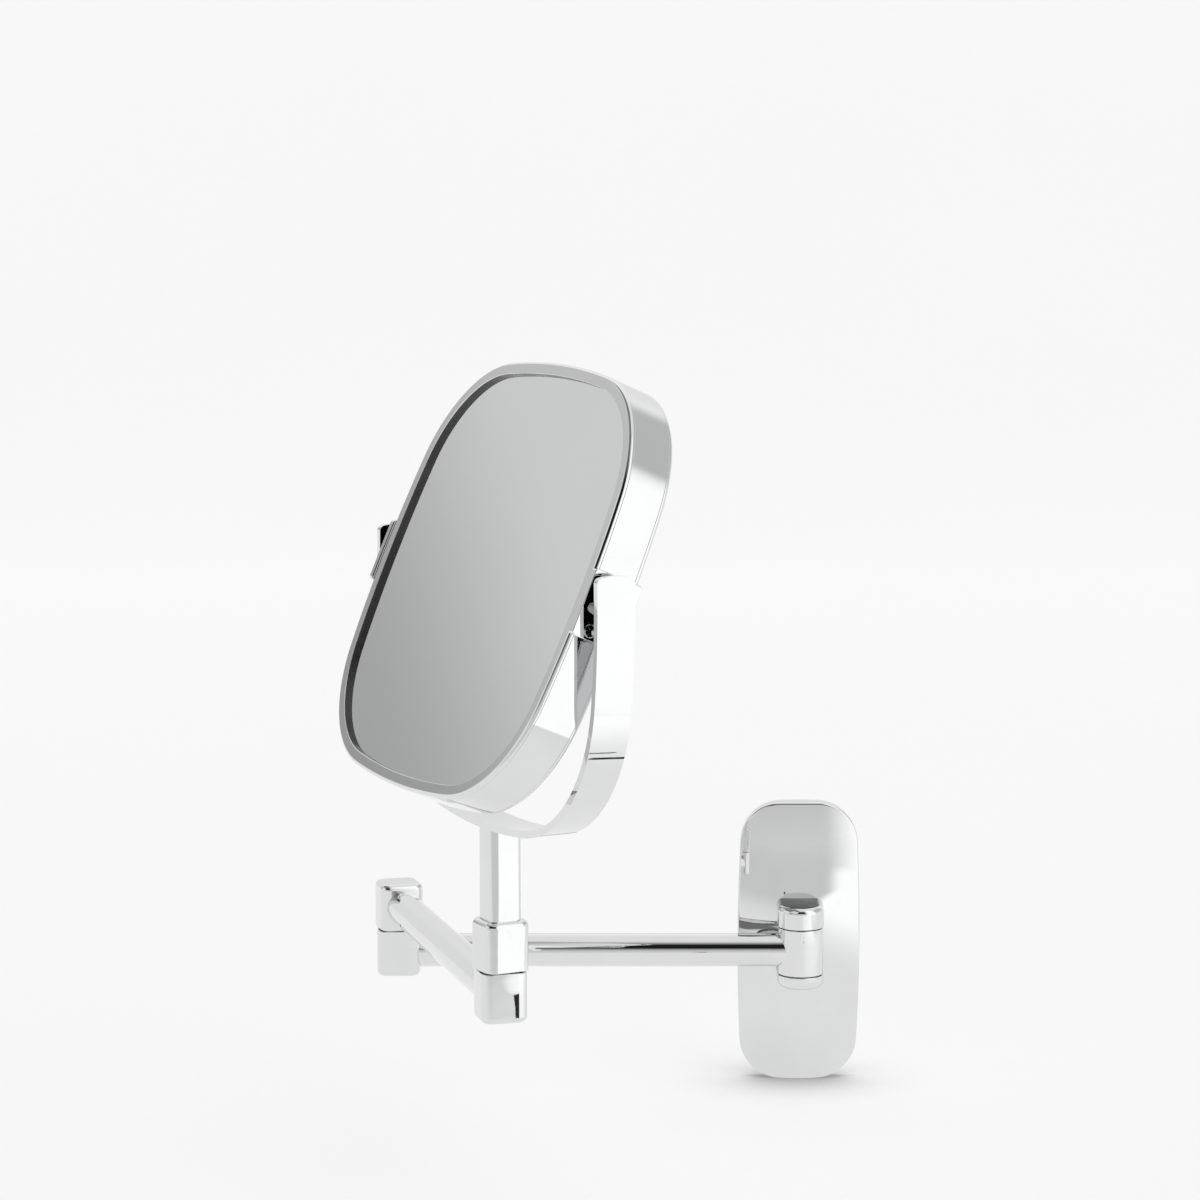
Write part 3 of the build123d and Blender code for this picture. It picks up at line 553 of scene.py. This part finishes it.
def ramp(tree, value, start, end, low=0.0, high=1.0):
    """Smooth step from low at start to high at end."""
    node = tree.nodes.new("ShaderNodeMapRange")
    node.interpolation_type = "SMOOTHSTEP"
    for socket, number in zip(("From Min", "From Max", "To Min", "To Max"), (start, end, low, high)):
        node.inputs[socket].default_value = number
    tree.links.new(value, node.inputs["Value"])
    return node.outputs["Result"]


def window(tree, value, start, full, last, end):
    """0 up to start, 1 from full to last, 0 again past end."""
    rise, fall = ramp(tree, value, start, full), ramp(tree, value, last, end, 1.0, 0.0)
    return math_node(tree, "MULTIPLY", rise, fall)


def paper_material(name):
    """Pale matt paper that glows a little, so that it stays even."""
    material, tree, shader = new_material(name)
    shader.inputs["Roughness"].default_value = 0.9
    shader.inputs["Specular IOR Level"].default_value = 0.0
    fibre = map_range(tree, noise(tree, 2.0), 0, 1)
    tree.links.new(colour_mix(tree, fibre, (0.355, 0.355, 0.355), (0.36, 0.36, 0.36)),
                   shader.inputs["Base Color"])
    shader.inputs["Emission Color"].default_value = (1, 1, 1, 1)
    return material, tree, shader


paper, paper_tree, paper_shader = paper_material("pale_paper")
# Painted contact shadow: the paper's glow is darkened by ambient occlusion where parts stand close above it.
contact = paper_tree.nodes.new("ShaderNodeAmbientOcclusion")
contact.inputs["Distance"].default_value = CONTACT_REACH
contact.samples = CONTACT_SAMPLES
shade = ramp(paper_tree, contact.outputs["AO"], *CONTACT_SPAN, CONTACT_DARKEST, 1.0)
paper_tree.links.new(math_node(paper_tree, "MULTIPLY", shade, PAPER_GLOW),
                     paper_shader.inputs["Emission Strength"])

# Floor that only reflections see: its glow holds a painted pool of the softbox's light and a painted fall-off away
# from the wall.
painted_light_paper, lit_tree, lit_shader = paper_material("painted_light_paper")
ground = lit_tree.nodes.new("ShaderNodeNewGeometry")
ground_xyz = lit_tree.nodes.new("ShaderNodeSeparateXYZ")
lit_tree.links.new(ground.outputs["Position"], ground_xyz.inputs[0])


def lit_math(operation, *values):
    return math_node(lit_tree, operation, *values)


def lit_ramp(value, span, low=0.0, high=1.0):
    return ramp(lit_tree, value, *span, low, high)


def along_ground(azimuth, start):
    """Distance over the floor from a start point, in a direction given by its azimuth."""
    a = math.radians(azimuth)
    dx, dy = math.sin(a), -math.cos(a)
    shift = -(start[0] * dx + start[1] * dy)
    partial = lit_math("MULTIPLY_ADD", ground_xyz.outputs[0], dx, shift)
    return lit_math("MULTIPLY_ADD", ground_xyz.outputs[1], dy, partial)


def near_pool():
    """The light's pool on the floor, from beside the knuckle outwards. Its start is sharp on the viewer's
    side and soft on the other, and its far edge flares out towards the start."""
    pool_from = (knuckle_at.x + POOL_FROM[0], knuckle_at.y + POOL_FROM[1])
    outward = along_ground(SOFTBOX_AZIMUTH, pool_from)
    sideways = along_ground(SOFTBOX_AZIMUTH + 90, pool_from)
    flare = lit_math("MAXIMUM", lit_math("MULTIPLY_ADD", outward, *POOL_FLARE), 0.0)
    far_edge = lit_math("SUBTRACT", sideways, flare)
    start = lit_tree.nodes.new("ShaderNodeMix")
    lit_tree.links.new(lit_ramp(sideways, POOL_SOFTENING), start.inputs["Factor"])
    lit_tree.links.new(lit_ramp(outward, POOL_SHARP_START), start.inputs["A"])
    lit_tree.links.new(lit_ramp(outward, POOL_SOFT_START), start.inputs["B"])
    edges = lit_math("MULTIPLY", lit_ramp(sideways, POOL_NEAR_EDGE),
                     lit_ramp(far_edge, POOL_FAR_EDGE, 1.0, 0.0))
    return lit_math("MULTIPLY", start.outputs["Result"], edges)


def distant_pool():
    """The pool further out, in the light's directions from the plate. It starts out a little wider."""
    x, y = ground_xyz.outputs[0], ground_xyz.outputs[1]
    azimuth = lit_math("MULTIPLY", lit_math("ARCTAN2", x, lit_math("MULTIPLY", y, -1.0)), DEGREES)
    reach = lit_math("SQRT", lit_math("ADD", lit_math("MULTIPLY", x, x), lit_math("MULTIPLY", y, y)))
    middle = lit_math("MULTIPLY", lit_ramp(reach, MIDDLE_POOL_END, 1.0, 0.0),
                      window(lit_tree, azimuth, *MIDDLE_POOL_AZIMUTHS))
    far = window(lit_tree, azimuth, *SOFTBOX_AZIMUTHS)
    return lit_math("MULTIPLY", lit_ramp(reach, DISTANT_POOL_START), lit_math("MAXIMUM", middle, far))


def light_floor():
    """Paint light into the lit paper's glow: dimmer away from the wall, and white in a painted pool of the light.
    """
    distance = lit_math("MULTIPLY", ground_xyz.outputs[1], -1.0)
    unlit = lit_math("ADD", lit_ramp(distance, FLOOR_DIMS, PAPER_GLOW, PAPER_GLOW - FLOOR_DROP),
                     lit_ramp(distance, FLOOR_BRIGHTENS, 0.0, FLOOR_RISE))
    pool_mix = lit_tree.nodes.new("ShaderNodeMix")
    lit_tree.links.new(lit_math("MAXIMUM", near_pool(), distant_pool()), pool_mix.inputs["Factor"])
    lit_tree.links.new(unlit, pool_mix.inputs["A"])
    pool_mix.inputs["B"].default_value = PAPER_GLOW + SOFTBOX - PAPER_WHITE
    lit_tree.links.new(pool_mix.outputs["Result"], lit_shader.inputs["Emission Strength"])


def paper_sheet(name, line, half_width, material, in_reflections):
    """Paper swept sideways along a line of (y, z) points.
    It is seen in reflections only, or by everything but reflections."""
    points = [(x, y, z) for y, z in line for x in (-half_width, half_width)]
    faces = [(2 * k, 2 * k + 1, 2 * k + 3, 2 * k + 2) for k in range(len(line) - 1)]
    mesh = bpy.data.meshes.new(name)
    mesh.from_pydata(points, [], faces)
    mesh.polygons.foreach_set("use_smooth", [True] * len(mesh.polygons))
    mesh.materials.append(material)
    piece = bpy.data.objects.new(name, mesh)
    bpy.context.scene.collection.objects.link(piece)
    piece.visible_glossy = in_reflections
    piece.visible_camera = not in_reflections
    piece.visible_diffuse = not in_reflections
    piece.visible_shadow = not in_reflections


def studio_sweep():
    """Flat floor, plain and with painted light, and behind it plain paper curving up into a backdrop."""
    front, bend, bend_r, half_width, top = -7.0, 1.95, 1.2, 7.0, 3.5
    paper_sheet("floor", [(front, FLOOR_Z), (bend, FLOOR_Z)], half_width, paper, False)
    lit_z = FLOOR_Z + LIT_LIFT
    paper_sheet("floor_painted_light", [(front, lit_z), (bend, lit_z)], half_width, painted_light_paper, True)
    curve = [(bend + bend_r * math.sin(t), FLOOR_Z + bend_r * (1 - math.cos(t)))
             for t in np.linspace(0, math.pi / 2, BACKDROP_ROWS)]
    paper_sheet("backdrop", curve + [(bend + bend_r, top)], half_width, paper, False)


light_floor()
studio_sweep()

flag_black, flag_tree, flag_shader = new_material("black_flag")
flag_shader.inputs["Roughness"].default_value = 0.9
flag_tone = colour_mix(flag_tree, noise(flag_tree, 40.0), (0.010, 0.010, 0.010), (0.016, 0.016, 0.016))
flag_tree.links.new(flag_tone, flag_shader.inputs["Base Color"])


def black_card(name, corners):
    """Small black card that only the chrome sees."""
    mesh = bpy.data.meshes.new(name)
    mesh.from_pydata(corners, [], [(0, 1, 2, 3)])
    mesh.materials.append(flag_black)
    piece = bpy.data.objects.new(name, mesh)
    bpy.context.scene.collection.objects.link(piece)
    piece.visible_camera = False
    piece.visible_diffuse = False
    piece.visible_shadow = False


def ground_point(dx, dy):
    """Point on the floor, given in mm from the knuckle's axis."""
    return (knuckle_at.x + dx * MM, knuckle_at.y + dy * MM)


def flag(name, start, end, width):
    """Thin black strip low over the floor. Its width is in metres."""
    start, end = Vector(start), Vector(end)
    across = (end - start).orthogonal().normalized() * width / 2
    ring = [start - across, end - across, end + across, start + across]
    black_card(name, [(q.x, q.y, FLOOR_Z + FLAG_LIFT) for q in ring])


def upright_flag(name, reach, low, high):
    """Black card standing some way from the knuckle's axis.
    low and high are (first azimuth, last azimuth, level)."""
    corners = []
    for azimuth, level in ((low[0], low[2]), (low[1], low[2]), (high[1], high[2]), (high[0], high[2])):
        a = math.radians(azimuth)
        corners.append((knuckle_at.x + reach * math.sin(a), knuckle_at.y - reach * math.cos(a), level))
    black_card(name, corners)


flag("flag_bar_near", ground_point(196, -137), ground_point(210, -118), 0.008)
flag("flag_bar_far", ground_point(208, -160), ground_point(220, -143), 0.004)
upright_flag("flag_upright", UPRIGHT_REACH, (35.6, 37.2, -0.036), (33.8, 36.8, -0.015))


def sky_patch(tree, current, tone, across, upward):
    """Sky tone with a patch of another tone laid over it, where both masks are on."""
    node = tree.nodes.new("ShaderNodeMix")
    tree.links.new(math_node(tree, "MULTIPLY", across, upward), node.inputs["Factor"])
    for socket, value in (("A", current), ("B", tone)):
        if isinstance(value, (int, float)):
            node.inputs[socket].default_value = value
        else:
            tree.links.new(value, node.inputs[socket])
    return node.outputs["Result"]


def studio_sky():
    """Sky of soft patches that the chrome sees. The camera sees plain white."""
    world = bpy.data.worlds.new("studio")
    bpy.context.scene.world = world
    world.use_nodes = True
    tree = world.node_tree
    background = next(n for n in tree.nodes if n.type == "BACKGROUND")
    background.inputs["Color"].default_value = (1, 1, 1, 1)
    direction = tree.nodes.new("ShaderNodeTexCoord")
    xyz = tree.nodes.new("ShaderNodeSeparateXYZ")
    tree.links.new(direction.outputs["Generated"], xyz.inputs[0])
    x, y, z = xyz.outputs
    towards = math_node(tree, "MULTIPLY", y, -1.0)
    azimuth = math_node(tree, "MULTIPLY", math_node(tree, "ARCTAN2", x, towards), DEGREES)
    height = math_node(tree, "MULTIPLY", math_node(tree, "ARCSINE", z), DEGREES)

    # Behind the object the sky is a little darker low down and lighter high up.
    tone = math_node(tree, "MULTIPLY_ADD", ramp(tree, y, 0.3, 0.9), ramp(tree, height, 12, 40, -0.06, 0.16),
                     SKY_TONE)
    # The grey on the left grows lighter along a slanting line.
    slant = math_node(tree, "MULTIPLY_ADD", azimuth, 0.6, math_node(tree, "ADD", height, 78.0))
    left_grey = ramp(tree, slant, 10.8, 15.6, 0.40, 0.645)
    # Each patch has a tone, azimuths and heights.
    patches = (
        (0.24, (-152, -140, -30, -10), (30, 44, 74, 84)),
        (left_grey, (-146, -138, -112, -96), (3, 7, 24, 40)),
        (0.60, (72, 80, 135, 152), (10, 20, 42, 56)),
        (0.76, (-70, -40, 16, 44), (-30, -20, 3, 14)),
        (0.012, (-75, -50, 12, 38), (-2, 26, 41, 76)),
        (SOFTBOX, SOFTBOX_AZIMUTHS, SOFTBOX_HEIGHTS),
    )
    for patch_tone, azimuths, heights in patches:
        across, upward = window(tree, azimuth, *azimuths), window(tree, height, *heights)
        tone = sky_patch(tree, tone, patch_tone, across, upward)

    seen = tree.nodes.new("ShaderNodeMix")
    path = tree.nodes.new("ShaderNodeLightPath")
    tree.links.new(path.outputs["Is Camera Ray"], seen.inputs["Factor"])
    tree.links.new(tone, seen.inputs["A"])
    seen.inputs["B"].default_value = PAPER_WHITE
    tree.links.new(seen.outputs["Result"], background.inputs["Strength"])


studio_sky()

# ---------------------------------------------------------------- camera
CAMERA_LENS = 114.2
CAMERA_AT = (-0.0960, -1.8108, 0.4062)
CAMERA_PITCH = 82.42

scene = bpy.context.scene
scene.view_settings.view_transform = "Standard"
scene.view_settings.look = "None"
camera = bpy.data.cameras.new("camera")
camera.lens = CAMERA_LENS
camera.sensor_width = 36.0
camera.clip_end = 50.0
camera_object = bpy.data.objects.new("camera", camera)
scene.collection.objects.link(camera_object)
camera_object.location = CAMERA_AT
camera_object.rotation_euler = (math.radians(CAMERA_PITCH), 0, 0)
scene.camera = camera_object
